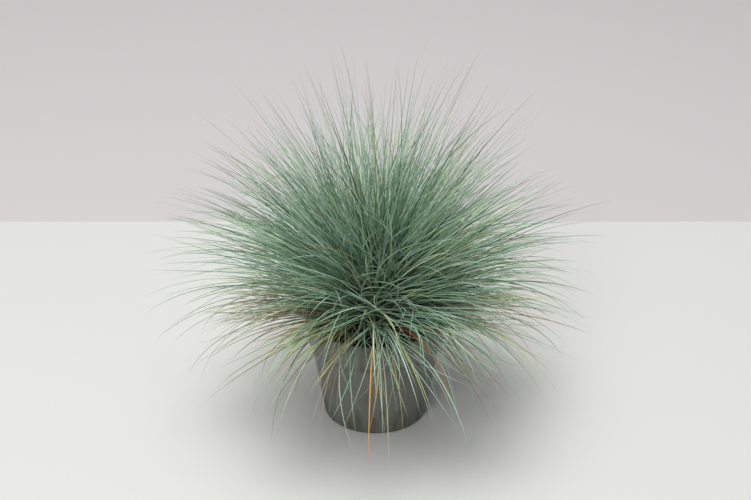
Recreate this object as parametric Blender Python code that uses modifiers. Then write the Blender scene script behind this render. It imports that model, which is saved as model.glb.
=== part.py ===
"""A potted blue fescue: a grey nursery pot, the peat that fills it, the plant's crown, and the
tillers that grow from the crown. Each tiller is a short sheath that parts into seven drooping
leaf bundles. Metres, +Z up. The origin is the middle of the pot's underside, on the floor."""

import math
import random

import bmesh
import bpy
from mathutils import Vector, noise

MM = 0.001
GAP = 0.3 * MM  # between pieces that touch
MERGE = 0.05 * MM

# Pot: a tapered container with a collar under its lip and a drainage channel in its base
POT_HEIGHT = 84 * MM
LIP_RADIUS = 52.5 * MM
LIP_HEIGHT = 2 * MM
LIP_OVERHANG = 0.9 * MM
COLLAR_HEIGHT = 20 * MM
COLLAR_TAPER = 0.8 * MM
COLLAR_STEP = 2.2 * MM
WALL = 1.2 * MM
BASE_RADIUS = 38 * MM
BASE_THICKNESS = 1.5 * MM
FOOT_CHAMFER = 1.2 * MM
CHANNEL_INNER = 25 * MM
CHANNEL_OUTER = 33 * MM
CHANNEL_DEPTH = 2.5 * MM
CHANNEL_SLOPE = 0.8 * MM
DRAIN_HOLES = 8
DRAIN_RADIUS = 2.6 * MM
DRAIN_SIDES = 10
POT_SIDES = 40

# Peat substrate: fills the pot to a few millimetres under its lip
PEAT_LEVEL = 79 * MM
PEAT_RINGS = (44 * MM, 36 * MM)
PEAT_LUMPS = 1.3 * MM
PEAT_LUMP_SIZE = 9 * MM
SEAT_RADIUS = 29 * MM

# Crown: the low cushion of sheath bases that the tillers grow from
CROWN_RADIUS = 27 * MM
CROWN_HEIGHT = 12 * MM
CROWN_SIDES = 24
CROWN_RINGS = 4

# Tillers
TILLERS = 43
GOLDEN_ANGLE = math.pi * (3 - math.sqrt(5))
STRAY = math.radians(3.5)  # most that a tiller turns or leans away from the even pattern
ROOT_SPREAD = 24.5 * MM
ROOT_RADIUS = 2.2 * MM
SHEATH_LENGTH = 27 * MM
SHEATH_TOP_RADIUS = 4.8 * MM
SHEATH_STATIONS = (0.0, 0.45, 1.0)
SHEATH_BEND = 14 * MM  # length in which a tiller leans over to its own angle
MOST_LEAN = math.radians(82)
LEAVES_AROUND = 6  # these splay from the tiller's axis, round one more that keeps to it
LEAVES = LEAVES_AROUND + 1
LEAF_SPLAY = math.radians(8.5)
LEAF_LENGTH_MIDDLE = 205 * MM
LEAF_LENGTH_EDGE = 134 * MM
LEAF_SHORTEST = 0.74  # share of the tiller's longest leaf, as the next
LEAF_ON_AXIS = 0.88
DROOP_MIDDLE = math.radians(12)
DROOP_EDGE = math.radians(60)
LEAF_STATIONS_UPRIGHT = (0.0, 0.38, 0.74, 1.0)
LEAF_STATIONS_ARCHING = (0.0, 0.28, 0.56, 0.82, 1.0)
ARCHING_FROM = 0.68  # share of ROOT_SPREAD from which leaves take the finer stations
PATH_STEPS = 40
SEED = 15

# Colours, linear
POT_GREY = (0.135, 0.138, 0.130, 1)
PEAT_BROWN = (0.030, 0.021, 0.014, 1)
CROWN_OLIVE = (0.115, 0.125, 0.070, 1)
LEAF_BLUE_GREEN = (0.150, 0.250, 0.175, 1)


def clear_scene():
    for obj in list(bpy.data.objects):
        bpy.data.objects.remove(obj)


def new_collection(name, hidden=False):
    made = bpy.data.collections.new(name)
    bpy.context.scene.collection.children.link(made)
    made.hide_render = hidden
    return made


def material(name, colour, roughness):
    made = bpy.data.materials.new(name)
    made.use_nodes = True
    shader = made.node_tree.nodes["Principled BSDF"]
    shader.inputs["Base Color"].default_value = colour
    shader.inputs["Roughness"].default_value = roughness
    shader.inputs["Metallic"].default_value = 0.0
    return made


def add_object(name, mesh, collection, surface=None):
    obj = bpy.data.objects.new(name, mesh)
    collection.objects.link(obj)
    if surface:
        mesh.materials.append(surface)
    return obj


def turned(name, profile, sides, collection, surface):
    """An object turned about Z from (radius, height) points that end at the underside's middle."""
    mesh = bpy.data.meshes.new(name)
    points = [(radius, 0, height) for radius, height in profile]
    mesh.from_pydata(points, [(i, i + 1) for i in range(len(points) - 1)], [])
    obj = add_object(name, mesh, collection, surface)
    screw = obj.modifiers.new("turn", "SCREW")
    screw.axis = "Z"
    screw.angle = math.tau
    screw.steps = screw.render_steps = sides
    screw.use_merge_vertices = True
    screw.merge_threshold = MERGE
    return obj


def collar_radius(height):
    """The collar's outer radius, which narrows slightly downwards from under the lip."""
    down = (POT_HEIGHT - LIP_HEIGHT - height) / (COLLAR_HEIGHT - LIP_HEIGHT)
    return LIP_RADIUS - LIP_OVERHANG - COLLAR_TAPER * down


def wall_radius(height):
    """The wall's outer radius below the collar, which widens evenly from the base upwards."""
    collar_bottom = POT_HEIGHT - COLLAR_HEIGHT
    top = collar_radius(collar_bottom) - COLLAR_STEP
    return BASE_RADIUS + (top - BASE_RADIUS) * height / collar_bottom


def pot_inside(gap):
    """(radius, height) points of the pot's inner surface from its axis to its collar, moved in by gap."""
    floor = BASE_THICKNESS + gap
    roof = floor + CHANNEL_DEPTH
    collar_bottom = POT_HEIGHT - COLLAR_HEIGHT
    return [
        (0, floor),
        (CHANNEL_INNER - CHANNEL_SLOPE - gap, floor),
        (CHANNEL_INNER - gap, roof),
        (CHANNEL_OUTER + gap, roof),
        (CHANNEL_OUTER + CHANNEL_SLOPE + gap, floor),
        (wall_radius(floor) - WALL - gap, floor),
        (wall_radius(collar_bottom) - WALL - gap, collar_bottom - WALL),
        (collar_radius(collar_bottom) - WALL - gap, collar_bottom + WALL),
    ]


def make_pot(collection, cutters, plastic):
    collar_bottom = POT_HEIGHT - COLLAR_HEIGHT
    lip_bottom = POT_HEIGHT - LIP_HEIGHT
    profile = pot_inside(0) + [
        (LIP_RADIUS - LIP_OVERHANG - WALL, POT_HEIGHT),
        (LIP_RADIUS - 0.4 * LIP_OVERHANG, POT_HEIGHT),
        (LIP_RADIUS, POT_HEIGHT - 0.4 * LIP_OVERHANG),
        (LIP_RADIUS, lip_bottom),
        (collar_radius(lip_bottom), lip_bottom - 0.2 * LIP_OVERHANG),
        (collar_radius(collar_bottom), collar_bottom),
        (wall_radius(collar_bottom), collar_bottom),
        (wall_radius(FOOT_CHAMFER), FOOT_CHAMFER),
        (BASE_RADIUS - FOOT_CHAMFER, 0),
        (CHANNEL_OUTER, 0),
        (CHANNEL_OUTER - CHANNEL_SLOPE, CHANNEL_DEPTH),
        (CHANNEL_INNER + CHANNEL_SLOPE, CHANNEL_DEPTH),
        (CHANNEL_INNER, 0),
        (0, 0),
    ]
    pot = turned("pot", profile, POT_SIDES, collection, plastic)
    drill = add_object("drain_drill", drill_mesh(), cutters)
    drill.hide_render = True
    drill.display_type = "WIRE"
    cut = pot.modifiers.new("drain holes", "BOOLEAN")
    cut.operation = "DIFFERENCE"
    cut.solver = "EXACT"
    cut.object = drill
    return pot


def drill_mesh():
    """One upright cylinder for each drain hole, in a ring through the channel's roof."""
    bm = bmesh.new()
    ring = (CHANNEL_INNER + CHANNEL_OUTER) / 2
    depth = 3 * BASE_THICKNESS
    for i in range(DRAIN_HOLES):
        made = bmesh.ops.create_cone(
            bm,
            cap_ends=True,
            segments=DRAIN_SIDES,
            radius1=DRAIN_RADIUS,
            radius2=DRAIN_RADIUS,
            depth=depth,
        )
        turn = math.tau * (i + 0.5) / DRAIN_HOLES
        middle = CHANNEL_DEPTH + BASE_THICKNESS / 2
        place = Vector((ring * math.cos(turn), ring * math.sin(turn), middle))
        bmesh.ops.translate(bm, verts=made["verts"], vec=place)
    mesh = bpy.data.meshes.new("drain_drill")
    bm.to_mesh(mesh)
    bm.free()
    return mesh


def make_peat(collection, peat):
    """Follows the pot's inside, with a flat seat for the crown and lumps between that and the wall."""
    inside = pot_inside(GAP)
    rim = (inside[-1][0], PEAT_LEVEL)
    surface = [(radius, PEAT_LEVEL) for radius in (*PEAT_RINGS, SEAT_RADIUS)]
    # The profile runs down the outer side, so the top comes first and the inside is read backwards.
    profile = [(0, PEAT_LEVEL), *reversed(surface), rim, *reversed(inside)]
    obj = turned("peat_substrate", profile, POT_SIDES, collection, peat)
    graph = bpy.context.evaluated_depsgraph_get()
    mesh = bpy.data.meshes.new_from_object(obj.evaluated_get(graph))
    name = obj.name
    bpy.data.objects.remove(obj)
    for vertex in mesh.vertices:
        radius = vertex.co.xy.length
        on_lumps = abs(vertex.co.z - PEAT_LEVEL) < MERGE and SEAT_RADIUS + MERGE < radius
        if on_lumps:
            vertex.co.z += PEAT_LUMPS * noise.noise(vertex.co / PEAT_LUMP_SIZE)
    return add_object(name, mesh, collection)


def crown_sphere_radius():
    """Radius of the sphere whose cap is CROWN_RADIUS wide and CROWN_HEIGHT high."""
    return (CROWN_RADIUS**2 + CROWN_HEIGHT**2) / (2 * CROWN_HEIGHT)


def make_crown(collection, surface):
    sphere = crown_sphere_radius()
    seat = PEAT_LEVEL + GAP
    middle = seat + CROWN_HEIGHT - sphere
    widest = math.asin(CROWN_RADIUS / sphere)
    angles = [widest * i / CROWN_RINGS for i in range(CROWN_RINGS + 1)]
    profile = [(sphere * math.sin(a), middle + sphere * math.cos(a)) for a in angles]
    return turned("crown", [*profile, (0, seat)], CROWN_SIDES, collection, surface)


def heading(polar, azimuth):
    """The direction at this angle from straight up, turned about Z by azimuth."""
    out = math.sin(polar)
    return Vector((out * math.cos(azimuth), out * math.sin(azimuth), math.cos(polar)))


def walk(start, azimuth, length, polar_at, shares):
    """Points and directions at these shares of a path that turns in the upright plane at azimuth."""
    found, place, step = [], start.copy(), length / PATH_STEPS
    wanted = [round(share * PATH_STEPS) for share in shares]
    for i in range(PATH_STEPS + 1):
        if i in wanted:
            found.append((place.copy(), heading(polar_at(i * step), azimuth)))
        place += heading(polar_at((i + 0.5) * step), azimuth) * step
    return found


def across(direction, azimuth):
    """Two directions square to a path's own: level, and up its back."""
    level = Vector((-math.sin(azimuth), math.cos(azimuth), 0))
    return level, direction.cross(level)


def make_tiller(index, collection, surface, rng):
    """A sheath that starts as a seven-sided ring on the crown and parts into seven leaf bundles. Each
    bundle is three-sided: it starts on the triangle between the sheath's middle and one side, and
    neighbours share only their common edge there, so the whole tiller is one closed surface. The
    last keeps to the axis. The others splay evenly round it, and leave its side of the ring free."""
    share = math.sqrt((index + 0.5) / TILLERS)
    azimuth = index * GOLDEN_ANGLE + rng.uniform(-STRAY, STRAY)
    lean = MOST_LEAN * share + rng.uniform(-STRAY, STRAY) * share
    droop = DROOP_MIDDLE + (DROOP_EDGE - DROOP_MIDDLE) * share**2
    longest = LEAF_LENGTH_MIDDLE + (LEAF_LENGTH_EDGE - LEAF_LENGTH_MIDDLE) * share
    shares = LEAF_STATIONS_ARCHING if share > ARCHING_FROM else LEAF_STATIONS_UPRIGHT
    bm = bmesh.new()
    ring, fork, direction = grow_sheath(bm, share, azimuth, lean)
    heart = bm.verts.new(fork)
    level, back = across(direction, azimuth)
    for k in range(LEAVES_AROUND):
        turn = math.tau * ((k + 0.5) / LEAVES_AROUND - 0.5 / LEAVES)
        splayed = direction * math.cos(LEAF_SPLAY)
        splayed += (level * math.cos(turn) + back * math.sin(turn)) * math.sin(LEAF_SPLAY)
        length = longest * rng.uniform(LEAF_SHORTEST, 1)
        grow_leaf(bm, [heart, ring[k], ring[k + 1]], splayed, length, droop, shares)
    grow_leaf(bm, [heart, ring[-1], ring[0]], direction, longest * LEAF_ON_AXIS, droop, shares)
    bmesh.ops.recalc_face_normals(bm, faces=bm.faces[:])
    mesh = bpy.data.meshes.new(f"tiller_{index + 1:02d}")
    bm.to_mesh(mesh)
    bm.free()
    return add_object(mesh.name, mesh, collection, surface)


def grow_sheath(bm, share, azimuth, lean):
    """Rings that widen along a path from the crown's surface, which leans over soon after it."""
    sphere = crown_sphere_radius()
    normal_angle = math.asin(ROOT_SPREAD * share / sphere)
    middle = Vector((0, 0, PEAT_LEVEL + GAP + CROWN_HEIGHT - sphere))
    root = middle + heading(normal_angle, azimuth) * (sphere + GAP)

    def polar_at(s):
        return lean + (normal_angle - lean) * math.exp(-s / SHEATH_BEND)

    rings = []
    stations = walk(root, azimuth, SHEATH_LENGTH, polar_at, SHEATH_STATIONS)
    for (place, direction), along in zip(stations, SHEATH_STATIONS):
        level, back = across(direction, azimuth)
        radius = ROOT_RADIUS + (SHEATH_TOP_RADIUS - ROOT_RADIUS) * along
        turns = [math.tau * k / LEAVES for k in range(LEAVES)]
        ring = [place + radius * (level * math.cos(a) + back * math.sin(a)) for a in turns]
        rings.append([bm.verts.new(point) for point in ring])
    bm.faces.new(rings[0])
    for lower, upper in zip(rings, rings[1:]):
        join_rings(bm, lower, upper)
    return rings[-1], *stations[-1]


def join_rings(bm, lower, upper):
    for k in range(len(lower)):
        after = (k + 1) % len(lower)
        bm.faces.new((lower[k], lower[after], upper[after], upper[k]))


def grow_leaf(bm, base, first, length, droop, shares):
    """Carries the triangle base along a drooping path, and closes it in a point."""
    middle = sum((vertex.co for vertex in base), Vector()) / len(base)
    offsets = [vertex.co - middle for vertex in base]
    polar = math.acos(first.z)
    azimuth = math.atan2(first.y, first.x)
    path = walk(middle, azimuth, length, lambda s: polar + droop * (s / length) ** 1.5, shares)
    section = base
    for (place, direction), share in list(zip(path, shares))[1:-1]:
        turn = first.rotation_difference(direction)
        width = (1 - share) ** 0.7
        after = [bm.verts.new(place + turn @ offset * width) for offset in offsets]
        join_rings(bm, section, after)
        section = after
    tip = bm.verts.new(path[-1][0])
    for k in range(len(section)):
        bm.faces.new((section[k], section[(k + 1) % len(section)], tip))


def main():
    clear_scene()
    parts = new_collection("potted_fescue")
    cutters = new_collection("cutters", hidden=True)
    make_pot(parts, cutters, material("pot_plastic", POT_GREY, 0.55))
    make_peat(parts, material("peat", PEAT_BROWN, 0.95))
    make_crown(parts, material("crown", CROWN_OLIVE, 0.8))
    leaf = material("leaf", LEAF_BLUE_GREEN, 0.6)
    rng = random.Random(SEED)
    for index in range(TILLERS):
        make_tiller(index, parts, leaf, rng)


main()
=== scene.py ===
"""A blue fescue in its nursery pot, photographed on a white bench. The pot, the peat and the crown
are turned surfaces, and some thousands of needle leaves stand in for the solids of the tillers."""

import math
import random

import bpy
import numpy as np
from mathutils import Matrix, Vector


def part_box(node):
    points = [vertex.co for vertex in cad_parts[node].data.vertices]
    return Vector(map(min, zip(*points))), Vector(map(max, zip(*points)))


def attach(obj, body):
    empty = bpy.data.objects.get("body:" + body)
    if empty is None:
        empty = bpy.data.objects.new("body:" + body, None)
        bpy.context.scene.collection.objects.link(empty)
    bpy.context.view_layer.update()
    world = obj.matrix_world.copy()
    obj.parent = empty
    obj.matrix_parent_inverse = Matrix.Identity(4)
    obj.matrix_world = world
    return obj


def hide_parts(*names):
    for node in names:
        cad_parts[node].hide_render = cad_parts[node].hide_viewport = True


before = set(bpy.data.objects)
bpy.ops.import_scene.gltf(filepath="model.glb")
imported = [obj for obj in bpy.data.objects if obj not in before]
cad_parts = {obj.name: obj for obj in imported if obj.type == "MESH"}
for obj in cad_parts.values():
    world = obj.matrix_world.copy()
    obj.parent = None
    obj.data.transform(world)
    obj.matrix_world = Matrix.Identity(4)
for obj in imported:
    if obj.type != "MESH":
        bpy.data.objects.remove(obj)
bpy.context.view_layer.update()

# Pot. A thin round nursery pot, pressed from grey recycled polypropylene sheet: a tapered wall, a
# wider collar under a small rolled lip, and a base with eight drain holes in a shallow channel.
MM = 0.001
LIP_RADIUS, _, POT_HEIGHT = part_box("pot")[1]
LIP_HEIGHT = 2 * MM
LIP_OVERHANG = 0.9 * MM
LIP_SLOPE = 0.18 * MM
COLLAR_HEIGHT = 20 * MM
COLLAR_TAPER = 0.8 * MM
COLLAR_STEP = 2.2 * MM
STEP_SLOPE = 0.4 * MM
WALL = 1.2 * MM
BASE_RADIUS = 38 * MM
BASE_THICKNESS = 1.5 * MM
FOOT_CHAMFER = 1.2 * MM
CHANNEL_INNER = 25 * MM
CHANNEL_OUTER = 33 * MM
CHANNEL_DEPTH = 2.5 * MM
CHANNEL_SLOPE = 0.8 * MM
DRAIN_HOLES = 8
DRAIN_RADIUS = 2.6 * MM
DRAIN_SIDES = 24
POT_SIDES = 144
EDGE_ROUNDING = 0.5 * MM
POT_SMOOTH_BELOW = 35
GAP = 0.3 * MM


def linear(hex_colour, alpha=1.0):
    """sRGB hex to linear: a channel is c / 12.92 up to 0.04045 and ((c + 0.055) / 1.055) ** 2.4 above."""
    channels = np.array([int(hex_colour[i : i + 2], 16) for i in (1, 3, 5)]) / 255
    return (*np.where(channels <= 0.04045, channels / 12.92, ((channels + 0.055) / 1.055) ** 2.4), alpha)


def add(tree, kind, inputs=None, stops=None, **settings):
    """Adds a shader node, with its settings, its ramp's stops, and a value or a link for each input."""
    made = tree.nodes.new("ShaderNode" + kind)
    for name, value in settings.items():
        setattr(made, name, value)
    if stops:
        ramp = made.color_ramp
        while len(ramp.elements) < len(stops):
            ramp.elements.new(0.5)
        for element, (place, colour) in zip(ramp.elements, stops):
            element.position = place
            element.color = linear(colour) if isinstance(colour, str) else (colour, colour, colour, 1)
    for name, value in (inputs or {}).items():
        if isinstance(value, bpy.types.NodeSocket):
            tree.links.new(value, made.inputs[name])
        else:
            made.inputs[name].default_value = value
    return made


def new_material(name, **values):
    """A material with its node tree and Principled shader, and these values on the shader's sockets."""
    made = bpy.data.materials.new(name)
    made.use_nodes = True
    shader = made.node_tree.nodes["Principled BSDF"]
    for socket, value in values.items():
        shader.inputs[socket.replace("_", " ")].default_value = value
    return made, made.node_tree, shader


def rounded(corners, reach, steps=4):
    """Every inner corner C becomes the curve (1-t)^2 A + 2t(1-t) C + t^2 B, where A and B lie up to
    reach from C along its two sides, and no further than 45% of a side."""
    corners = np.array(corners)
    here, sides = corners[1:-1], np.diff(corners, axis=0)
    lengths = np.linalg.norm(sides, axis=1)[:, None]
    ways = sides / lengths
    cut = np.minimum(reach, 0.45 * np.minimum(lengths[:-1], lengths[1:]))
    before, after = here - ways[:-1] * cut, here + ways[1:] * cut
    t = np.linspace(0, 1, steps + 1)[None, :, None]
    arcs = (1 - t) ** 2 * before[:, None] + 2 * t * (1 - t) * here[:, None] + t**2 * after[:, None]
    return np.concatenate([corners[:1], arcs.reshape(-1, 2), corners[-1:]])


def turned(profile, sides):
    """Points (r cos a, r sin a, z) for each profile point (r, z) and angle a, with one point for each
    end on the axis. Quads join the rings and a fan of triangles closes each end. The profile runs
    from the upper end over the outside to the lower end, so that the faces point outwards."""
    profile = np.asarray(profile)
    angle = np.linspace(0, math.tau, sides, endpoint=False)
    radius, height = profile[1:-1, :1], profile[1:-1, 1:]
    rings = np.stack(np.broadcast_arrays(radius * np.cos(angle), radius * np.sin(angle), height), axis=-1)
    ends = np.array([[0, 0, profile[0, 1]], [0, 0, profile[-1, 1]]])
    points = np.concatenate([rings.reshape(-1, 3), ends])
    number = np.arange(rings.shape[0] * sides).reshape(-1, sides)
    beside = np.roll(number, -1, axis=1)
    quads = np.stack([number[:-1], number[1:], beside[1:], beside[:-1]], axis=-1).reshape(-1, 4)
    upper, lower = len(points) - 2, len(points) - 1
    top = np.stack([np.full(sides, upper), number[0], beside[0]], axis=-1)
    bottom = np.stack([np.full(sides, lower), beside[-1], number[-1]], axis=-1)
    return points, [*quads.tolist(), *top.tolist(), *bottom.tolist()]


def new_piece(name, points, faces, material, slot, smooth_below=None):
    """A mesh object of these faces. Edges that turn by less than smooth_below degrees shade smooth."""
    mesh = bpy.data.meshes.new(name)
    mesh.from_pydata(points, [], faces)
    if smooth_below:
        mesh.shade_smooth()
        mesh.set_sharp_from_angle(angle=math.radians(smooth_below))
    mesh.materials.append(material)
    piece = bpy.data.objects.new(name, mesh)
    bpy.context.scene.collection.objects.link(piece)
    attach(piece, "root")
    return piece


def collar_radius(height):
    """The collar's outer radius: it narrows evenly by COLLAR_TAPER from under the lip to its foot."""
    down = (POT_HEIGHT - LIP_HEIGHT - height) / (COLLAR_HEIGHT - LIP_HEIGHT)
    return LIP_RADIUS - LIP_OVERHANG - COLLAR_TAPER * down


def wall_radius(height):
    """The wall's outer radius: it widens evenly from the base up to a step under the collar."""
    collar_bottom = POT_HEIGHT - COLLAR_HEIGHT
    top = collar_radius(collar_bottom) - COLLAR_STEP
    return BASE_RADIUS + (top - BASE_RADIUS) * height / collar_bottom


def pot_inside(gap):
    """(radius, height) of the pot's inner surface from its axis up to its collar, moved in by gap."""
    floor = BASE_THICKNESS + gap
    roof = floor + CHANNEL_DEPTH
    collar_bottom = POT_HEIGHT - COLLAR_HEIGHT
    return [
        (0, floor),
        (CHANNEL_INNER - CHANNEL_SLOPE - gap, floor),
        (CHANNEL_INNER - gap, roof),
        (CHANNEL_OUTER + gap, roof),
        (CHANNEL_OUTER + CHANNEL_SLOPE + gap, floor),
        (wall_radius(floor) - WALL - gap, floor),
        (wall_radius(collar_bottom) - WALL - gap, collar_bottom - WALL),
        (collar_radius(collar_bottom) - WALL - gap, collar_bottom + WALL),
    ]


def drilled(piece):
    """Cuts the drain holes, a ring of upright cylinders through the channel's roof."""
    ring = (CHANNEL_INNER + CHANNEL_OUTER) / 2
    low, high = CHANNEL_DEPTH - BASE_THICKNESS, CHANNEL_DEPTH + 2 * BASE_THICKNESS
    points, faces = turned([(0, high), (DRAIN_RADIUS, high), (DRAIN_RADIUS, low), (0, low)], DRAIN_SIDES)
    turns = math.tau * (np.arange(DRAIN_HOLES) + 0.5) / DRAIN_HOLES
    places = np.stack([ring * np.cos(turns), ring * np.sin(turns), np.zeros(DRAIN_HOLES)], axis=-1)
    every = (places[:, None] + points[None]).reshape(-1, 3)
    drills = [[corner + i * len(points) for corner in face] for i in range(DRAIN_HOLES) for face in faces]
    mesh = bpy.data.meshes.new("drain_drills")
    mesh.from_pydata(every, [], drills)
    drill = bpy.data.objects.new("drain_drills", mesh)
    bpy.context.scene.collection.objects.link(drill)
    cut = piece.modifiers.new("drain holes", "BOOLEAN")
    cut.operation, cut.solver, cut.object = "DIFFERENCE", "EXACT", drill
    graph = bpy.context.evaluated_depsgraph_get()
    made = bpy.data.meshes.new_from_object(piece.evaluated_get(graph))
    piece.modifiers.clear()
    piece.data = made
    made.shade_smooth()
    made.set_sharp_from_angle(angle=math.radians(POT_SMOOTH_BELOW))
    bpy.data.objects.remove(drill)


# Recycled polypropylene, vacuum formed: dull mid grey, smooth to the touch but not quite even. Dried
# peat has left a thin brown layer under the lip and towards the foot, and ran down from there. The
# dark band in the step under the collar is painted shade, the collar's shadow on the wall under it.
# Handling has left a few pale scuffs.
pot_plastic, tree, shader = new_material("recycled_polypropylene", IOR=1.49, Metallic=0.0)
place = add(tree, "TexCoord").outputs["Object"]
mottle = add(tree, "TexNoise", {"Vector": place, "Scale": 1 / (30 * MM), "Detail": 4.0})
grey = add(tree, "ValToRGB", {"Fac": mottle.outputs["Fac"]}, stops=((0.3, "#5e615b"), (0.7, "#6c6f69")))
height = add(tree, "SeparateXYZ", {"Vector": place}).outputs["Z"]
share_up = add(tree, "MapRange", {"Value": height, "From Max": POT_HEIGHT})
collar_at = 1 - COLLAR_HEIGHT / POT_HEIGHT
# Brown dust under the lip and towards the foot, and painted shade (the collar's shadow) in the step under
# the collar.
dust_and_shade_bands = add(
    tree,
    "ValToRGB",
    {"Fac": share_up.outputs[0]},
    stops=(
        (0.0, 0.2),
        (0.3, 0.0),
        (collar_at - 0.09, 0.0),
        (collar_at, 0.24),
        (collar_at + 0.01, 0.0),
        (0.84, 0.0),
        (1.0, 0.16),
    ),
)
stretched = add(tree, "Mapping", {"Vector": place, "Scale": (1, 1, 0.15)})
runs = add(tree, "TexNoise", {"Vector": stretched.outputs[0], "Scale": 1 / (6 * MM), "Detail": 3.0})
dust_and_shade_film = add(tree, "Math", {0: runs.outputs["Fac"], 1: dust_and_shade_bands.outputs[0]}, operation="ADD")
dust_and_shade_film = add(tree, "ValToRGB", {"Fac": dust_and_shade_film.outputs[0]}, stops=((0.56, 0.0), (0.86, 0.8)))
dusty_and_shaded = add(
    tree, "Mix", {"Factor": dust_and_shade_film.outputs[0], 6: grey.outputs[0], 7: linear("#4b4438")}, data_type="RGBA"
)
scratch = add(tree, "Mapping", {"Vector": place, "Scale": (1, 1, 2.5), "Rotation": (0.5, 0.3, 0)})
scuffs = add(tree, "TexNoise", {"Vector": scratch.outputs[0], "Scale": 1 / (5 * MM), "Detail": 7.0})
scuffs = add(tree, "ValToRGB", {"Fac": scuffs.outputs["Fac"]}, stops=((0.66, 0.0), (0.78, 0.35)))
worn = add(
    tree, "Mix", {"Factor": scuffs.outputs[0], 6: dusty_and_shaded.outputs[2], 7: linear("#92948e")}, data_type="RGBA"
)
tree.links.new(worn.outputs[2], shader.inputs["Base Color"])
gloss = add(tree, "MapRange", {"Value": dust_and_shade_film.outputs[0], "To Min": 0.42, "To Max": 0.8})
tree.links.new(gloss.outputs[0], shader.inputs["Roughness"])
grain = add(tree, "TexNoise", {"Vector": place, "Scale": 1 / (0.8 * MM), "Detail": 2.0})
bump = add(tree, "Bump", {"Height": grain.outputs["Fac"], "Strength": 0.2, "Distance": 0.04 * MM})
uneven = add(
    tree,
    "Bump",
    {"Height": mottle.outputs["Fac"], "Strength": 0.5, "Distance": 0.8 * MM, "Normal": bump.outputs[0]},
)
tree.links.new(uneven.outputs[0], shader.inputs["Normal"])

lip_bottom = POT_HEIGHT - LIP_HEIGHT
collar_bottom = POT_HEIGHT - COLLAR_HEIGHT
pot_outline = pot_inside(0) + [
    (LIP_RADIUS - LIP_OVERHANG - WALL, POT_HEIGHT),
    (LIP_RADIUS, POT_HEIGHT),
    (LIP_RADIUS, lip_bottom),
    (collar_radius(lip_bottom), lip_bottom - LIP_SLOPE),
    (collar_radius(collar_bottom), collar_bottom),
    (wall_radius(collar_bottom), collar_bottom - STEP_SLOPE),
    (wall_radius(FOOT_CHAMFER), FOOT_CHAMFER),
    (BASE_RADIUS - FOOT_CHAMFER, 0),
    (CHANNEL_OUTER, 0),
    (CHANNEL_OUTER - CHANNEL_SLOPE, CHANNEL_DEPTH),
    (CHANNEL_INNER + CHANNEL_SLOPE, CHANNEL_DEPTH),
    (CHANNEL_INNER, 0),
    (0, 0),
]
points, faces = turned(rounded(pot_outline, EDGE_ROUNDING), POT_SIDES)
pot = new_piece("nursery_pot", points, faces, pot_plastic, "pot_plastic")
drilled(pot)
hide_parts("pot")


# Peat. Milled dark peat fills the pot to just under its lip. Its top is uneven, with crumbs lying on
# it and a few pale grains of lime and sand. Here and below a pair of values is a range, but a name in
# GAMMA or BETA holds the two values of that distribution.
PEAT_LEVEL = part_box("crown")[0][2] - GAP
SEAT_RADIUS = 24 * MM
SEAT_FADE = 6 * MM
PEAT_RINGS = 40
PEAT_SMOOTH_BELOW = 50
LUMP_HEIGHT = 0.55 * MM
WAVES = 48
WAVE_LENGTHS_MM = 3, 16
CRUMBS = 1500
CRUMBS_FROM = 22 * MM
CRUMBS_TO_WALL = 1.6 * MM
CRUMBS_SUNK = 0.1 * MM
LEAST_CRUMB_RADIUS = 0.35 * MM
MOST_CRUMB_RADIUS = 1.5 * MM
CRUMB_MM_GAMMA = 1.6, 0.32
CRUMB_SQUASH = 0.7
GRAINS = 34
GRAINS_FROM = 27 * MM
GRAINS_REACH = 48 * MM
GRAINS_SUNK = -0.2 * MM
GRAIN_RADII_MM = 0.35, 0.8
GRAIN_SQUASH = 0.8
CORNER_REACH = 0.65, 1.15
draw = np.random.default_rng(11)

wave_length = draw.uniform(*WAVE_LENGTHS_MM, WAVES) * MM
wave_way = draw.uniform(0, math.tau, WAVES)
wave_start = draw.uniform(0, math.tau, WAVES)


def peat_height(x, y):
    """The sum of the cosine waves, each as high as it is long, brought to LUMP_HEIGHT. It fades out
    towards the crown's seat."""
    along = x[..., None] * np.cos(wave_way) + y[..., None] * np.sin(wave_way)
    waves = np.cos(math.tau * along / wave_length + wave_start) * wave_length
    rise = waves.sum(-1) / np.sqrt((wave_length**2).sum() / 2)
    fade = np.clip((np.hypot(x, y) - SEAT_RADIUS) / SEAT_FADE, 0, 1)
    return PEAT_LEVEL + LUMP_HEIGHT * rise * fade


# Milled peat: nearly black where it is moist and brown where the surface has dried, quite matt.
peat_matter, tree, shader = new_material("milled_peat", Roughness=0.96, IOR=1.4, Metallic=0.0)
shader.inputs["Specular IOR Level"].default_value = 0.2
place = add(tree, "TexCoord").outputs["Object"]
damp = add(tree, "TexNoise", {"Vector": place, "Scale": 1 / (9 * MM), "Detail": 8.0, "Roughness": 0.7})
brown = add(
    tree,
    "ValToRGB",
    {"Fac": damp.outputs["Fac"]},
    stops=((0.36, "#1e1812"), (0.5, "#33281d"), (0.62, "#4d3d2c"), (0.74, "#6d5940")),
)
tree.links.new(brown.outputs[0], shader.inputs["Base Color"])
crumbly = add(tree, "TexNoise", {"Vector": place, "Scale": 1 / (1.2 * MM), "Detail": 6.0, "Roughness": 0.75})
bump = add(tree, "Bump", {"Height": crumbly.outputs["Fac"], "Strength": 0.9, "Distance": 0.9 * MM})
tree.links.new(bump.outputs[0], shader.inputs["Normal"])

inside = pot_inside(GAP)
rim_radius = inside[-1][0]
surface = [(radius, PEAT_LEVEL) for radius in np.linspace(0, rim_radius, PEAT_RINGS)]
points, faces = turned([*surface, *reversed(inside)], POT_SIDES)
on_top = np.isclose(points[:, 2], PEAT_LEVEL)
points[on_top, 2] = peat_height(points[on_top, 0], points[on_top, 1])
peat = new_piece("peat", points, faces, peat_matter, "peat", PEAT_SMOOTH_BELOW)
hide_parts("peat_substrate")


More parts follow.
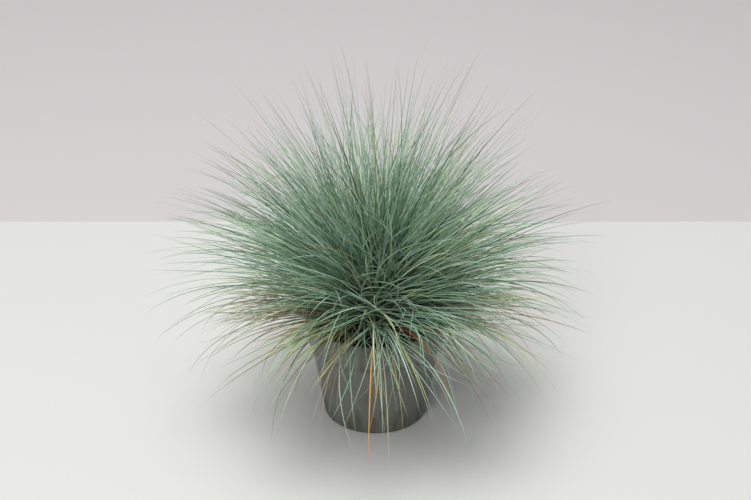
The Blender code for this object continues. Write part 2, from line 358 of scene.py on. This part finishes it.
def strewn(count, inner, outer, sunk):
    """Random points on the peat, spread evenly over the ring between two radii, moved down by sunk."""
    radius = np.sqrt(draw.uniform(inner**2, outer**2, count))
    angle = draw.uniform(0, math.tau, count)
    x, y = radius * np.cos(angle), radius * np.sin(angle)
    return np.stack([x, y, peat_height(x, y) - sunk], axis=-1)


def lumps(centres, radii, squash):
    """A twenty-sided lump at each centre: the corners of an icosahedron, each moved in or out at
    random, flattened by squash, and turned about X and then Z. Corners less than 1.2 radii apart
    share an edge, since its edges are 1.05 radii long, and three of them that all do are a face."""
    golden = (1 + math.sqrt(5)) / 2
    corners = [(0, a, b * golden) for a in (-1, 1) for b in (-1, 1)]
    corners += [(a, b * golden, 0) for a in (-1, 1) for b in (-1, 1)]
    corners += [(b * golden, 0, a) for a in (-1, 1) for b in (-1, 1)]
    corners = np.array(corners) / math.hypot(1, golden)
    hull = [
        (i, j, k)
        for i in range(12)
        for j in range(i + 1, 12)
        for k in range(j + 1, 12)
        if max(np.linalg.norm(corners[[i, j, k]] - corners[[j, k, i]], axis=1)) < 1.2
    ]
    outward = [np.linalg.det(corners[list(face)]) > 0 for face in hull]
    hull = np.array([face if out else face[::-1] for face, out in zip(hull, outward)])
    count = len(centres)
    shape = corners * draw.uniform(*CORNER_REACH, (count, 12, 1)) * (1, 1, squash)
    turn = draw.uniform(0, math.tau, (3, count))[:2]
    c, s = np.cos(turn), np.sin(turn)
    z, o = np.zeros(count), np.ones(count)
    about_z = np.array([[c[0], -s[0], z], [s[0], c[0], z], [z, z, o]])
    about_x = np.array([[o, z, z], [z, c[1], -s[1]], [z, s[1], c[1]]])
    turns = np.einsum("abn,bcn->nac", about_z, about_x)
    shape = np.einsum("nac,nkc->nka", turns, shape) * radii[:, None, None]
    every = (centres[:, None] + shape).reshape(-1, 3)
    faces = (hull[None] + 12 * np.arange(count)[:, None, None]).reshape(-1, 3)
    return every, faces.tolist()


crumb_radius = LEAST_CRUMB_RADIUS + draw.gamma(*CRUMB_MM_GAMMA, CRUMBS) * MM
crumb_radius = np.minimum(crumb_radius, MOST_CRUMB_RADIUS)
crumb_places = strewn(CRUMBS, CRUMBS_FROM, rim_radius - CRUMBS_TO_WALL, CRUMBS_SUNK)
new_piece("peat_crumbs", *lumps(crumb_places, crumb_radius, CRUMB_SQUASH), peat_matter, "peat")

# Ground limestone and sand: pale, chalky grains with nothing of a shine.
limestone, tree, shader = new_material("ground_limestone", Roughness=0.9, IOR=1.5, Metallic=0.0)
place = add(tree, "TexCoord").outputs["Object"]
patchy = add(tree, "TexNoise", {"Vector": place, "Scale": 1 / (4 * MM), "Detail": 3.0})
pale = add(tree, "ValToRGB", {"Fac": patchy.outputs["Fac"]}, stops=((0.35, "#8e8672"), (0.65, "#cfc9b8")))
tree.links.new(pale.outputs[0], shader.inputs["Base Color"])
grain_places = strewn(GRAINS, GRAINS_FROM, GRAINS_REACH, GRAINS_SUNK)
grain_radius = draw.uniform(*GRAIN_RADII_MM, GRAINS) * MM
new_piece("pale_grains", *lumps(grain_places, grain_radius, GRAIN_SQUASH), limestone, "peat")

# Crown. The low cushion from which the tillers rise: hundreds of old sheath bases packed together,
# dull olive below and straw or reddish brown where they have dried.
CROWN_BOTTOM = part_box("crown")[0][2]
CROWN_RADIUS, _, CROWN_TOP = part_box("crown")[1]
CROWN_HEIGHT = CROWN_TOP - CROWN_BOTTOM
CROWN_SPHERE = (CROWN_RADIUS**2 + CROWN_HEIGHT**2) / (2 * CROWN_HEIGHT)
CROWN_MIDDLE = np.array([0, 0, CROWN_TOP - CROWN_SPHERE])
CROWN_RINGS = 14
CROWN_SIDES = 96
CROWN_SMOOTH_BELOW = 50

# Dried leaf sheaths: papery, with a dull straw, olive and red-brown streaking from the plant's base.
sheath_matter, tree, shader = new_material("dried_sheath", Roughness=0.75, IOR=1.45, Metallic=0.0)
place = add(tree, "TexCoord").outputs["Object"]
patches = add(tree, "TexNoise", {"Vector": place, "Scale": 1 / (3 * MM), "Detail": 4.0, "Roughness": 0.65})
colours = add(
    tree,
    "ValToRGB",
    {"Fac": patches.outputs["Fac"]},
    stops=((0.3, "#2f3a2a"), (0.44, "#4b4a30"), (0.54, "#6e5a3a"), (0.62, "#7a4a30"), (0.72, "#9c8657")),
)
tree.links.new(colours.outputs[0], shader.inputs["Base Color"])
arc = np.linspace(0, math.asin(CROWN_RADIUS / CROWN_SPHERE), CROWN_RINGS)
dome = np.stack([CROWN_SPHERE * np.sin(arc), CROWN_MIDDLE[2] + CROWN_SPHERE * np.cos(arc)], axis=-1)
points, faces = turned([*dome, (0, CROWN_BOTTOM)], CROWN_SIDES)
crown = new_piece("crown_cushion", points, faces, sheath_matter, "crown", CROWN_SMOOTH_BELOW)
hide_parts("crown")


# Tillers. Forty-three groups of shoots, set on the crown in the spiral of a sunflower head, leaning
# out more the further they stand from its middle. Each parts into bundles of leaves, six round one
# more. These are the values that the solids were made from.
TILLERS = 43
AROUND = 6
BUNDLES = AROUND + 1
GOLDEN_ANGLE = math.pi * (3 - math.sqrt(5))
STRAY = math.radians(3.5)
ROOT_SPREAD = 24.5 * MM
SHEATH_LENGTH = 27 * MM
SHEATH_BEND = 14 * MM
MOST_LEAN = math.radians(82)
BUNDLE_SPLAY = math.radians(8.5)
LENGTH_MIDDLE = 205 * MM
LENGTH_EDGE = 134 * MM
SHORTEST = 0.74
ON_AXIS = 0.88
DROOP_MIDDLE = math.radians(12)
DROOP_EDGE = math.radians(60)
SEED = 15


def heading(polar, azimuth):
    """Unit vectors at these angles from straight up, turned about Z by these azimuths."""
    out = np.sin(polar)
    return np.stack([out * np.cos(azimuth), out * np.sin(azimuth), np.cos(polar)], axis=-1)


rng = random.Random(SEED)
chance = np.array([rng.random() for _ in range(TILLERS * (AROUND + 2))]).reshape(TILLERS, -1)
tiller_share = np.sqrt((np.arange(TILLERS) + 0.5) / TILLERS)
tiller_azimuth = np.arange(TILLERS) * GOLDEN_ANGLE + STRAY * (2 * chance[:, 0] - 1)
tiller_lean = (MOST_LEAN + STRAY * (2 * chance[:, 1] - 1)) * tiller_share
tiller_droop = DROOP_MIDDLE + (DROOP_EDGE - DROOP_MIDDLE) * tiller_share**2
tiller_longest = LENGTH_MIDDLE + (LENGTH_EDGE - LENGTH_MIDDLE) * tiller_share
length_shares = np.column_stack([SHORTEST + (1 - SHORTEST) * chance[:, 2:], np.full(TILLERS, ON_AXIS)])
bundle_length = tiller_longest[:, None] * length_shares
root_angle = np.arcsin(ROOT_SPREAD * tiller_share / CROWN_SPHERE)
fork_polar = tiller_lean + (root_angle - tiller_lean) * math.exp(-SHEATH_LENGTH / SHEATH_BEND)
fork_way = heading(fork_polar, tiller_azimuth)[:, None]
level = heading(np.full(TILLERS, math.pi / 2), tiller_azimuth + math.pi / 2)[:, None]
turn = (math.tau * ((np.arange(AROUND) + 0.5) / AROUND - 0.5 / BUNDLES))[None, :, None]
aside = level * np.cos(turn) + np.cross(fork_way, level) * np.sin(turn)
splayed = fork_way * math.cos(BUNDLE_SPLAY) + aside * math.sin(BUNDLE_SPLAY)
bundle_way = np.concatenate([splayed, fork_way], axis=1)

# Leaves. Each is a needle leaf, rolled nearly shut along its length, about 1 mm wide and up to 23 cm
# long. It rises in a sheath from the crown, runs with the others of its tuft and arches away.
SEGMENTS = 16
TONES = 32
LEAF_WIDTH = 1.0 * MM
SECTION = np.array([(0.5, 0.12), (0, 0.45), (-0.5, 0.12), (0, -0.22)])
TWIST = 0.9
EASE = 1.5
SHEATH_SHARE = 0.3
SHEATH_SWELL = 0.5
SWELL_FADE = 12
LOWEST = math.radians(168)
CLEARANCE = 0.6 * MM
CLEAR_BEYOND = 5 * MM
CLIMB_FROM = 9 * MM
CLIMB_LENGTH = 6 * MM
SET_IN = 0.5 * MM
NUDGE = 1e-6
STRIP_MARGIN = 0.08


def unit(vectors):
    """The same directions at length 1."""
    return vectors / np.linalg.norm(vectors, axis=-1, keepdims=True)


def leaf_paths(root, rise, way, length, droop, sway, ease=EASE, fold=0.0, fold_place=0.5):
    """Points along each leaf: the direction starts as rise, turns to way within SHEATH_BEND by
    exp(-s / SHEATH_BEND), sinks by droop times the share of its length past the sheath to the power
    ease, and turns aside by sway times the same. The sheath takes SHEATH_SHARE of a short leaf. A
    folded leaf drops by fold past fold_place, and none points lower than LOWEST. The points are
    the running sum of its steps."""
    share = (np.arange(SEGMENTS) + 0.5) / SEGMENTS
    along = share[None] * length[:, None]
    sheath = np.minimum(SHEATH_LENGTH, SHEATH_SHARE * length)[:, None]
    past = np.clip((along - sheath) / (length[:, None] - sheath), 0, 1) ** np.asarray(ease)[..., None]
    polar = np.arccos(np.clip(way[:, 2], -1, 1))[:, None] + droop[:, None] * past
    polar += np.asarray(fold)[..., None] * (share > np.asarray(fold_place)[..., None])
    polar = np.minimum(polar, LOWEST)
    azimuth = np.repeat(np.arctan2(way[:, 1], way[:, 0])[:, None], SEGMENTS, axis=1)
    level = heading(np.full_like(polar, math.pi / 2), azimuth + math.pi / 2)
    free = heading(polar, azimuth) + level * (sway[:, None] * past)[..., None]
    held = np.exp(-along / SHEATH_BEND)[..., None]
    steps = unit(rise[:, None] * held + unit(free) * (1 - held)) * (length / SEGMENTS)[:, None, None]
    return np.concatenate([root[:, None], root[:, None] + np.cumsum(steps, axis=1)], axis=1)


def kept_clear(paths):
    """Lifts the points over the pot, and just beyond it, above the ground. The ground is the peat,
    and climbs from there to the lip. The two points in the crown stay where they are."""
    radius = np.hypot(paths[..., 0], paths[..., 1])
    climb = np.clip((radius - (LIP_RADIUS - CLIMB_FROM)) / CLIMB_LENGTH, 0, 1)
    low = PEAT_LEVEL + 2 * LUMP_HEIGHT
    ground = low + (POT_HEIGHT - low) * climb + CLEARANCE
    lifted = (radius < LIP_RADIUS + CLEAR_BEYOND) & (np.arange(paths.shape[1]) > 1)
    height = np.where(lifted, np.maximum(paths[..., 2], ground), paths[..., 2])
    return np.concatenate([paths[..., :2], height[..., None]], axis=-1)


def leaf_piece(name, paths, width, roll, tone, material, slot):
    """Carries a four-sided section, a shallow V, along each path and closes it in a point. It stands
    on vectors square to the path, turned by roll and then evenly by TWIST, and NUDGE keeps them
    apart on an upright leaf. The width goes as (1 - t^3) (1 + SHEATH_SWELL exp(-SWELL_FADE t)). On
    the map u is the place along the leaf and v lies in its tone's strip, clear of the edges."""
    count, rings = paths.shape[0], SEGMENTS
    t = np.arange(rings) / SEGMENTS
    tangent = unit(np.gradient(paths, axis=1))[:, :rings]
    first = unit(paths[:, 3] - paths[:, 1])
    across = unit(np.cross(first, (0.0, 0.0, 1.0)) + NUDGE)[:, None]
    side = unit(across - tangent * (across * tangent).sum(-1, keepdims=True))
    back = np.cross(tangent, side)
    angle = (roll[:, None] + TWIST * t[None])[..., None]
    side, back = side * np.cos(angle) + back * np.sin(angle), back * np.cos(angle) - side * np.sin(angle)
    wide = width[:, None] * ((1 - t**3) * (1 + SHEATH_SWELL * np.exp(-t * SWELL_FADE)))[None]
    shape = SECTION[:, :1] * side[:, :, None] + SECTION[:, 1:] * back[:, :, None]
    tube = paths[:, :rings, None] + shape * wide[..., None, None]
    points = np.concatenate([tube.reshape(count, -1, 3), paths[:, -1:]], axis=1)
    number = np.arange(rings * 4).reshape(rings, 4)
    beside = np.roll(number, -1, axis=1)
    quads = np.stack([number[:-1], beside[:-1], beside[1:], number[1:]], axis=-1).reshape(-1, 4)
    quads = np.concatenate([number[:1, ::-1], quads])
    tips = np.stack([number[-1], beside[-1], np.full(4, rings * 4)], axis=-1)
    base = np.arange(count)[:, None, None] * (rings * 4 + 1)
    faces = [*(quads + base).reshape(-1, 4).tolist(), *(tips + base).reshape(-1, 3).tolist()]
    piece = new_piece(name, points.reshape(-1, 3), faces, material, slot)

    low, high = np.arange(4) / 4, (np.arange(4) + 1) / 4
    u0, v0 = np.meshgrid(t[:-1], low, indexing="ij")
    u1, v1 = np.meshgrid(t[1:], high, indexing="ij")
    body = np.stack([u0, v0, u0, v1, u1, v1, u1, v0], axis=-1).reshape(-1, 4, 2)
    foot = np.array([[(0, 0.9), (0.01, 0.9), (0.01, 0.1), (0, 0.1)]])
    last, end = np.full(4, t[-1]), np.ones(4)
    point = np.stack([last, low, last, high, end, (low + high) / 2], axis=-1).reshape(-1, 3, 2)
    strip = np.floor(np.clip(tone, 0, 0.999) * TONES)
    both = []
    for shape in (np.concatenate([foot, body]), point):
        spread = np.repeat(shape[None], count, axis=0)
        within = STRIP_MARGIN + (1 - 2 * STRIP_MARGIN) * spread[..., 1]
        spread[..., 1] = (strip[:, None, None] + within) / TONES
        both.append(spread.reshape(-1, 2))
    mapped = piece.data.uv_layers.new(name="OFBake")
    mapped.data.foreach_set("uv", np.concatenate(both).ravel())
    return piece


# Fescue leaf: blue-green under a thin wax bloom that makes it look powdery and takes off the gloss.
# The bloom is thickest on the outside of the roll; the groove shows the greener leaf itself. Bluish
# leaves fill the lower part of the map and greener ones the next part, from deep to pale, and the
# few that yellow lie above them.
BLUISH = 0.44
GREENISH = 0.86
leaf_matter, tree, shader = new_material("waxy_fescue_leaf", Roughness=0.5, IOR=1.45, Metallic=0.0)
shader.inputs["Specular IOR Level"].default_value = 0.4
mapped = add(tree, "SeparateXYZ", {"Vector": add(tree, "UVMap", uv_map="OFBake").outputs[0]})
along, tone = mapped.outputs["X"], mapped.outputs["Y"]
bloom = add(
    tree,
    "ValToRGB",
    {"Fac": tone},
    stops=(
        (0.0, "#2c4a3a"),
        (0.2, "#8ab398"),
        (0.32, "#aed1ba"),
        (BLUISH - 0.01, "#c9e3d1"),
        (BLUISH + 0.01, "#345233"),
        (0.68, "#a0c194"),
        (GREENISH - 0.01, "#cde0ba"),
        (GREENISH + 0.01, "#a4ab66"),
        (1.0, "#ccb570"),
    ),
)
strip = add(tree, "Math", {0: tone, 1: float(TONES)}, operation="MULTIPLY")
side = add(tree, "Math", {0: strip.outputs[0]}, operation="FRACT")
groove = add(tree, "Math", {0: side.outputs[0], 1: 0.5}, operation="GREATER_THAN")
green = add(tree, "Mix", {"Factor": 0.4, 6: bloom.outputs[0], 7: linear("#4d7055")}, data_type="RGBA")
folded = add(
    tree, "Mix", {"Factor": groove.outputs[0], 6: bloom.outputs[0], 7: green.outputs[2]}, data_type="RGBA"
)
patches = add(tree, "TexNoise", {"Vector": add(tree, "TexCoord").outputs["Object"], "Scale": 1 / (7 * MM)})
rubbed = add(tree, "ValToRGB", {"Fac": patches.outputs["Fac"]}, stops=((0.48, 0.0), (0.64, 0.4)))
rubbed = add(
    tree, "Mix", {"Factor": rubbed.outputs[0], 6: folded.outputs[2], 7: green.outputs[2]}, data_type="RGBA"
)
ragged = add(tree, "MapRange", {"Value": patches.outputs["Fac"], "To Min": -0.09, "To Max": 0.09})
ragged = add(tree, "Math", {0: along, 1: ragged.outputs[0]}, operation="ADD")
# Painted shade: each leaf darkens from about two thirds of its length down to its foot. This stands for the
# shade deep in the clump round the crown, laid over the sheath's own duller green.
foot = add(tree, "ValToRGB", {"Fac": ragged.outputs[0]}, stops=((0.04, 0.88), (0.28, 0.55), (0.64, 0.0)))
shaded_towards_foot = add(
    tree, "Mix", {"Factor": foot.outputs[0], 6: rubbed.outputs[2], 7: linear("#3c4c34")}, data_type="RGBA"
)
dry = add(tree, "ValToRGB", {"Fac": ragged.outputs[0]}, stops=((0.6, 0.0), (0.84, 0.4), (1.0, 0.9)))
tipped = add(
    tree, "Mix", {"Factor": dry.outputs[0], 6: shaded_towards_foot.outputs[2], 7: linear("#75795f")}, data_type="RGBA"
)
tree.links.new(tipped.outputs[2], shader.inputs["Base Color"])

# There are three kinds: the lead in the middle of each bundle, the leaves that keep with it, and
# strays, which go their own way from anywhere on the crown. A row of three holds their values in
# this order: how far the direction strays, the most that a leaf is short of its bundle, the droop
# past the tiller's, the sway to a side, and how far round the crown from its tiller a leaf stands.
# The share WILD of the leaves strays WILDER times as far.
LEAVES_MIDDLE = 15
LEAVES_EDGE = 8
STRAYING = 0.62
SCATTER = np.array([0.02, 0.17, 0.42])
WILD = 0.14
WILDER = 2.3
SHORTER = np.array([0.0, 0.6, 0.68])
MORE_DROOP = np.radians([0, 12, 18])
SWAY = np.array([0.13, 0.5, 0.9])
ROUND_CROWN = np.array([0.3, 0.35, 1.1])
LOWEST_WAY = math.radians(96)
in_bundle = np.repeat(LEAVES_MIDDLE + (LEAVES_EDGE - LEAVES_MIDDLE) * tiller_share, BUNDLES)
in_bundle = np.round(in_bundle).astype(int)
owner = np.repeat(np.arange(TILLERS).repeat(BUNDLES), in_bundle)
bundle = np.repeat(np.arange(TILLERS * BUNDLES), in_bundle)
kind = 1 + (draw.random(len(owner)) < STRAYING)
kind[np.cumsum(in_bundle) - in_bundle] = 0
scatter = SCATTER[kind] * np.where(draw.random(len(owner)) < WILD, WILDER, 1)
aside = scatter[:, None] * draw.normal(0, 1, (len(owner), 3))
way = unit(bundle_way.reshape(-1, 3)[bundle] + aside)
way = unit(np.concatenate([way[:, :2], np.maximum(way[:, 2:], math.cos(LOWEST_WAY))], axis=-1))

# The clump is thin in front, where the rim shows, on both sides, where old leaves lie flat, and at
# the front on the left, where some turn yellow. It is thinnest within 16 degrees of these ways, and
# full from 35 degrees on; the two limits are the cosines of these angles.
THIN_POLAR = np.radians([70, 86, 86, 82])
THIN_AZIMUTH = np.radians([-90, 194, -14, 229])
THINNED = np.array([0.85, 0.9, 0.9, 0.85])
THIN_OUTER, THIN_INNER = 0.82, 0.96
near = way @ heading(THIN_POLAR, THIN_AZIMUTH).T
closeness = np.clip((near - THIN_OUTER) / (THIN_INNER - THIN_OUTER), 0, 1)
kept = (kind == 0) | (draw.random(len(owner)) > (THINNED * closeness).max(-1))
owner, bundle, kind, way = owner[kept], bundle[kept], kind[kept], way[kept]
count = len(owner)

# A shorter leaf is stiffer: droop and sway go as its share of the full length to the power
# STIFFNESS. The share FOLDED of the strays has a fold. A leaf's root strays from its tiller's: out or
# in by about ROOT_STRAY of ROOT_SPREAD, and round the crown by about ROOT_TURN radians at its edge,
# and by more further in, down to INNERMOST. To that comes its kind's ROUND_CROWN.
SHORTER_BETA = 1.5, 1.7
STIFFNESS = 1.3
DROOP_SHARES = 0.1, 0.9
LEAST_EASE = 0.8
FOLDED = 0.025
FOLDS_DEGREES = 35, 80
FOLD_PLACES = 0.6, 0.85
ROOT_STRAY = 0.05
ROOT_TURN = 0.09
INNERMOST = 0.15
WIDTHS = 0.75, 1.15
full = 1 - SHORTER[kind] * draw.beta(*SHORTER_BETA, count)
length = SHEATH_LENGTH + bundle_length.ravel()[bundle] * full
droop = tiller_droop[owner] * np.where(kind > 0, draw.uniform(*DROOP_SHARES, count), 1)
droop = (droop + MORE_DROOP[kind] * np.abs(draw.normal(0, 1, count))) * full**STIFFNESS
sway = SWAY[kind] * draw.normal(0, 1, count) * full**STIFFNESS
ease = np.where(kind > 0, draw.uniform(LEAST_EASE, EASE, count), EASE)
fold = np.radians(draw.uniform(*FOLDS_DEGREES, count)) * ((kind == 2) & (draw.random(count) < FOLDED))
fold_place = draw.uniform(*FOLD_PLACES, count)
share = tiller_share[owner] + draw.normal(0, ROOT_STRAY, count)
azimuth = tiller_azimuth[owner] + draw.normal(0, ROOT_TURN, count) / np.maximum(share, INNERMOST)
azimuth += ROUND_CROWN[kind] * draw.normal(0, 1, count)
rise = heading(np.arcsin(np.maximum(ROOT_SPREAD * share / CROWN_SPHERE, 0)), azimuth)
root = CROWN_MIDDLE + rise * (CROWN_SPHERE - SET_IN)
paths = kept_clear(leaf_paths(root, rise, way, length, droop, sway, ease, fold, fold_place))
width = LEAF_WIDTH * draw.uniform(*WIDTHS, count)
roll = draw.uniform(0, math.tau, count)

# Tones. Each tiller has its own mean paleness and its own share of greener leaves, and its leaves
# vary about them. A tone keeps TONE_MARGIN away from where the next kind of leaf begins.
PALE_MEAN = 0.64
PALE_OF_TILLERS = 0.12
PALE_OF_LEAVES = -0.62, 0.62
GREENER_BETA = 1.1, 2.6
YELLOWING = 0.02
YELLOWEST = 0.99
TONE_MARGIN = 0.02
PIECES = 10
pale = draw.normal(PALE_MEAN, PALE_OF_TILLERS, TILLERS)[owner] + draw.uniform(*PALE_OF_LEAVES, count)
pale = np.clip(pale, 0, 1)
greener = draw.random(count) < draw.beta(*GREENER_BETA, TILLERS)[owner]
green_tone = BLUISH + TONE_MARGIN + (GREENISH - BLUISH - 2 * TONE_MARGIN) * pale
tone = np.where(greener, green_tone, (BLUISH - TONE_MARGIN) * pale)
yellow = draw.random(count) < YELLOWING
tone = np.where(yellow, draw.uniform(GREENISH + TONE_MARGIN, YELLOWEST, count), tone)
for number in range(PIECES):
    nodes = range(number * TILLERS // PIECES, (number + 1) * TILLERS // PIECES)
    mine = np.isin(owner, nodes)
    leaves = leaf_piece(
        f"leaves_{number + 1:02d}", paths[mine], width[mine], roll[mine], tone[mine], leaf_matter, "leaf"
    )
    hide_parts(*[f"tiller_{node + 1:02d}" for node in nodes])


# Dead leaves. Old leaves stay in flat tufts on the outside of the clump, dull brown to straw, and lie
# on the lip or hang over it. Short dry sheaths and broken leaves stand round the crown's foot.
straw, tree, shader = new_material("dead_fescue_leaf", Roughness=0.7, IOR=1.45, Metallic=0.0)
mapped = add(tree, "SeparateXYZ", {"Vector": add(tree, "UVMap", uv_map="OFBake").outputs[0]})
dead = add(
    tree,
    "ValToRGB",
    {"Fac": mapped.outputs["Y"]},
    stops=(
        (0.0, "#4f473c"),
        (0.28, "#857763"),
        (0.54, "#b9ae8e"),
        (0.62, "#c6bf68"),
        (0.7, "#b3ae5a"),
        (0.8, "#9a5230"),
        (1.0, "#e0a04c"),
    ),
)
tree.links.new(dead.outputs[0], shader.inputs["Base Color"])

# Each row: leaves, azimuth and its spread in degrees, then from and to: angle from upright, length
# in mm, droop in degrees, and tone. More tufts of a few leaves stand evenly all round, the first of
# them at FIRST_TUFT degrees, which leaves the orange leaf alone. The single leaves are the widest.
EVEN_TUFTS = 15
FIRST_TUFT = 16
TUFT_TURN = 7
TUFT_TONES = 0.1, 0.55
DEAD_ROOTS_DEGREES = 34, 44
DEAD_SWAY = 0.2
DEAD_WIDTHS = 0.7, 1.1
SINGLE_WIDTH = 1.8
dead_tufts = [
    (1, -92, 0, 80, 80, 150, 150, 94, 94, 0.99, 0.99),  # the orange leaf that hangs over the front
    (1, -58, 0, 90, 90, 95, 95, 78, 78, 0.86, 0.86),
    (26, 230, 10, 66, 86, 60, 115, 20, 50, 0.56, 0.7),  # yellowing leaves at the front on the left
    (95, 190, 15, 72, 92, 50, 115, 0, 25, 0.2, 0.6),  # flat over the rim, on the left and on the right
    (95, -10, 15, 72, 92, 50, 115, 0, 25, 0.2, 0.6),
]
for number, tone in enumerate(draw.uniform(*TUFT_TONES, EVEN_TUFTS)):
    place = FIRST_TUFT + 360 / EVEN_TUFTS * number + draw.uniform(-TUFT_TURN, TUFT_TURN)
    dead_tufts.append((8, place, 6, 76, 96, 60, 150, 20, 85, tone - 0.1, tone + 0.15))
dead_tufts = np.array(dead_tufts)
tuft = np.repeat(dead_tufts, dead_tufts[:, 0].astype(int), axis=0)
dead_count = len(tuft)
azimuth = np.radians(tuft[:, 1] + tuft[:, 2] * draw.normal(0, 1, dead_count))
polar, length, droop, tone = (draw.uniform(tuft[:, low], tuft[:, low + 1]) for low in (3, 5, 7, 9))
rise = heading(np.radians(draw.uniform(*DEAD_ROOTS_DEGREES, dead_count)), azimuth)
in_tuft = tuft[:, 0] > 1
paths = leaf_paths(
    CROWN_MIDDLE + rise * (CROWN_SPHERE - SET_IN),
    unit(rise + heading(np.full(dead_count, math.pi / 2), azimuth)),
    heading(np.radians(polar), azimuth),
    length * MM,
    np.radians(droop),
    draw.normal(0, DEAD_SWAY, dead_count) * in_tuft,
)
width = LEAF_WIDTH * np.where(in_tuft, draw.uniform(*DEAD_WIDTHS, dead_count), SINGLE_WIDTH)
roll = draw.uniform(0, math.tau, dead_count)
leaf_piece("dead_leaves", kept_clear(paths), width, roll, tone, straw, "leaf")

# Thatch. Dry stubs of sheaths and leaves are left from other years and stand up between the tufts.
# They are rooted on the outer half of the crown and lean outwards.
THATCH = 300
THATCH_ROOTS_DEGREES = 20, 47
THATCH_ENDS_DEGREES = 60, 100
THATCH_TURN = 0.5
THATCH_LENGTHS_MM = 12, 36
THATCH_DROOPS_DEGREES = 0, 40
THATCH_SWAY = 0.4
THATCH_WIDTHS = 0.8, 1.5
THATCH_PALEST = 0.86
PALENESS_BETA = 1.6, 1.6
azimuth = draw.uniform(0, math.tau, THATCH)
rise = heading(np.radians(draw.uniform(*THATCH_ROOTS_DEGREES, THATCH)), azimuth)
polar = np.radians(draw.uniform(*THATCH_ENDS_DEGREES, THATCH))
paths = leaf_paths(
    CROWN_MIDDLE + rise * (CROWN_SPHERE - SET_IN),
    rise,
    heading(polar, azimuth + draw.normal(0, THATCH_TURN, THATCH)),
    draw.uniform(*THATCH_LENGTHS_MM, THATCH) * MM,
    np.radians(draw.uniform(*THATCH_DROOPS_DEGREES, THATCH)),
    draw.normal(0, THATCH_SWAY, THATCH),
)
leaf_piece(
    "thatch",
    kept_clear(paths),
    LEAF_WIDTH * draw.uniform(*THATCH_WIDTHS, THATCH),
    draw.uniform(0, math.tau, THATCH),
    draw.beta(*PALENESS_BETA, THATCH) * THATCH_PALEST,
    straw,
    "crown",
)

# Litter. Short bits of leaf have broken off and lie about on the peat, nearly level. Each lies with
# its middle on one of the strewn points.
LITTER = 70
LITTER_FROM = 29 * MM
LITTER_REACH = 39 * MM
LITTER_SUNK = -0.9 * MM
LITTER_POLAR_DEGREES = 86, 92
LITTER_LENGTHS_MM = 6, 19
LITTER_DROOPS = -0.1, 0.3
LITTER_SWAY = 0.4
LITTER_WIDTHS = 0.7, 1.3
LITTER_PALEST = 0.8
polar = draw.uniform(*LITTER_POLAR_DEGREES, LITTER) * math.pi / 180
way = heading(polar, draw.uniform(0, math.tau, LITTER))
length = draw.uniform(*LITTER_LENGTHS_MM, LITTER) * MM
lying = strewn(LITTER, LITTER_FROM, LITTER_REACH, LITTER_SUNK) - way * length[:, None] / 2
droop = draw.uniform(*LITTER_DROOPS, LITTER)
leaf_piece(
    "leaf_litter",
    leaf_paths(lying, way, way, length, droop, draw.normal(0, LITTER_SWAY, LITTER)),
    LEAF_WIDTH * draw.uniform(*LITTER_WIDTHS, LITTER),
    draw.uniform(0, math.tau, LITTER),
    draw.beta(*PALENESS_BETA, LITTER) * LITTER_PALEST,
    straw,
    "leaf",
)


# Bench and backdrop. A white laminate bench, and a pale grey sheet from its back edge on. The sheet
# lies level with the bench, so that it hides nothing of the plant from behind.
REACH = 3.0
BENCH_BACK = 0.29
bench_paint, tree, shader = new_material("white_laminate", Roughness=0.45, Metallic=0.0)
shader.inputs["Base Color"].default_value = linear("#bfbfbb")
sheet_paint, tree, shader = new_material("pale_grey_paint", Roughness=0.8, Metallic=0.0)
shader.inputs["Base Color"].default_value = linear("#b1adad")
for name, near, far, paint in (
    ("bench", -REACH, BENCH_BACK, bench_paint),
    ("backdrop", BENCH_BACK, REACH, sheet_paint),
):
    corners = [(-REACH, near, 0), (REACH, near, 0), (REACH, far, 0), (-REACH, far, 0)]
    mesh = bpy.data.meshes.new(name)
    mesh.from_pydata(corners, [], [(0, 1, 2, 3)])
    mesh.materials.append(paint)
    sheet = bpy.data.objects.new(name, mesh)
    bpy.context.scene.collection.objects.link(sheet)

# Light. Even shop light: a wide soft panel overhead, a weaker one in front on the left, and a pale
# room. A panel's tilt is in degrees about X and Y.
ROOM_STRENGTH = 0.36
world = bpy.data.worlds.new("room")
bpy.context.scene.world = world
world.use_nodes = True
world.node_tree.nodes["Background"].inputs["Color"].default_value = linear("#f4f6fa")
world.node_tree.nodes["Background"].inputs["Strength"].default_value = ROOM_STRENGTH
for name, place, tilt, width, watts in (
    ("ceiling_panel", (-0.15, 0.0, 2.2), (0, -4), 1.2, 53),
    ("front_panel", (-0.9, -2.4, 2.3), (48, -16), 1.0, 48),
):
    lamp = bpy.data.lights.new(name, "AREA")
    lamp.size, lamp.energy = width, watts
    panel = bpy.data.objects.new(name, lamp)
    panel.location = place
    panel.rotation_euler = (math.radians(tilt[0]), math.radians(tilt[1]), 0)
    bpy.context.scene.collection.objects.link(panel)
bpy.context.scene.view_settings.view_transform = "Standard"

# Camera. A long lens, level from side to side, looks down at the middle of the plant as steeply as
# the one in the photograph.
ELEVATION = math.radians(29.5)
DISTANCE = 1.8
FOCAL_LENGTH = 118
SIGHT = 20
AIM = np.array([0, 0, 0.136])
lens = bpy.data.cameras.new("camera")
lens.lens = FOCAL_LENGTH
lens.clip_end = SIGHT
camera = bpy.data.objects.new("camera", lens)
camera.location = AIM + DISTANCE * np.array([0, -math.cos(ELEVATION), math.sin(ELEVATION)])
camera.rotation_euler = (math.pi / 2 - ELEVATION, 0, 0)
bpy.context.scene.collection.objects.link(camera)
bpy.context.scene.camera = camera
